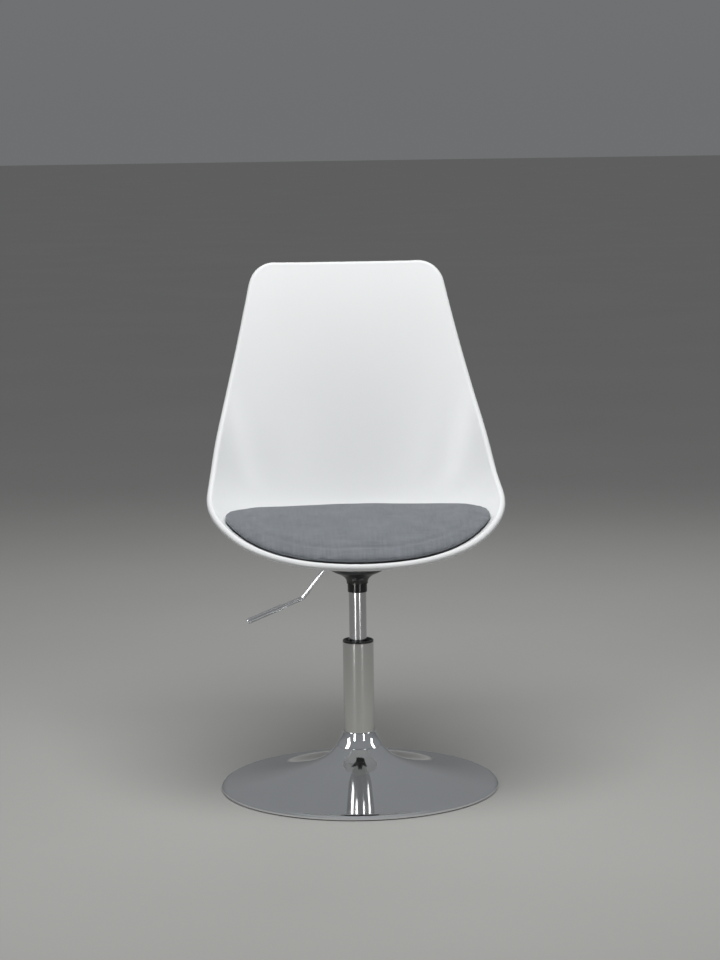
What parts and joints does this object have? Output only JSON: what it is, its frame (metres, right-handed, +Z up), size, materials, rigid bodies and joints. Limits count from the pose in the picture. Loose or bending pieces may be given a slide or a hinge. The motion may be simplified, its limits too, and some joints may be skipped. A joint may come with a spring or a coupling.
{
  "type": "swivel chair",
  "caption": "Height-adjustable swivel chair: white moulded tulip shell with grey fabric seat pad, gas lift with side lever, chrome column and trumpet base.",
  "frame": {"origin": "column axis at floor level", "axes": "+Z up along the column, the sitter faces -Y, the release lever is on the -X side"},
  "size_m": [0.4796, 0.5274, 0.8362],
  "materials": {
    "chrome": "polished chrome plate",
    "chrome_satin": "chrome plate with a faint satin drag",
    "cylinder_steel": "satin ground steel",
    "shell_plastic": "satin white moulding",
    "seat_fabric": "plain woven upholstery",
    "black_plastic": "satin",
    "black_gloss": "gloss",
    "rubber": "matte",
    "ballast_iron": "black primer",
    "zinc_steel": "zinc plated",
    "polished_rod": "ground",
    "plate_paint": "black powder coat",
    "valve_brass": "turned",
    "pad_fabric": "hook and loop"
  },
  "bodies": {
    "base": {"trumpet_base": "chrome", "base_edge_ring": "rubber", "ballast_plate": "ballast_iron", "column_socket": "ballast_iron", "base_bolts": "zinc_steel", "base_nuts": "zinc_steel", "column_collar": "chrome", "column_tube": "chrome_satin", "column_end_plug": "zinc_steel", "guide_bush": "black_gloss", "bearing_lower_race": "zinc_steel", "bearing_balls": "polished_rod"},
    "piston": {"piston_rod": "polished_rod", "piston_head": "zinc_steel", "bearing_upper_race": "zinc_steel", "rod_bumper": "rubber", "rod_washer": "zinc_steel", "rod_clip": "zinc_steel"},
    "seat": {"gas_cylinder": "cylinder_steel", "cylinder_seal_plug": "valve_brass", "valve_body": "valve_brass", "neck_ring": "black_gloss", "seat_hub": "plate_paint", "seat_plate": "plate_paint", "seat_bolts": "zinc_steel", "seat_nuts": "zinc_steel", "bell_shroud": "black_plastic", "lever_bracket": "plate_paint", "lever_pin": "zinc_steel", "seat_shell": "shell_plastic", "seat_cushion": "seat_fabric", "cushion_pads": "pad_fabric"},
    "lever": {"lever_arm": "zinc_steel", "lever_rod": "chrome", "lever_grip": "chrome", "lever_end_cap": "chrome"},
    "valve": {"release_pin": "polished_rod"}
  },
  "joints": [
    {"name": "seat_swivel", "type": "hinge", "parent": "base", "child": "piston", "pos_m": [0, 0, 0.05], "axis": [0, 0, 1], "continuous": true},
    {"name": "seat_height", "type": "slide", "parent": "piston", "child": "seat", "axis": [0, 0, 1], "range_m": [-0.07, 0.06]},
    {"name": "lever_tilt", "type": "hinge", "parent": "seat", "child": "lever", "pos_m": [-0.027, 0, 0.369], "axis": [0, 1, 0], "range_deg": [0, 7]},
    {"name": "pin_press", "type": "slide", "parent": "seat", "child": "valve", "axis": [0, 0, -1], "range_m": [0, 0.0036]}
  ],
  "couplings": [
    {"joint": "pin_press", "follows": "lever_tilt", "m_per_rad": 0.02865}
  ]
}
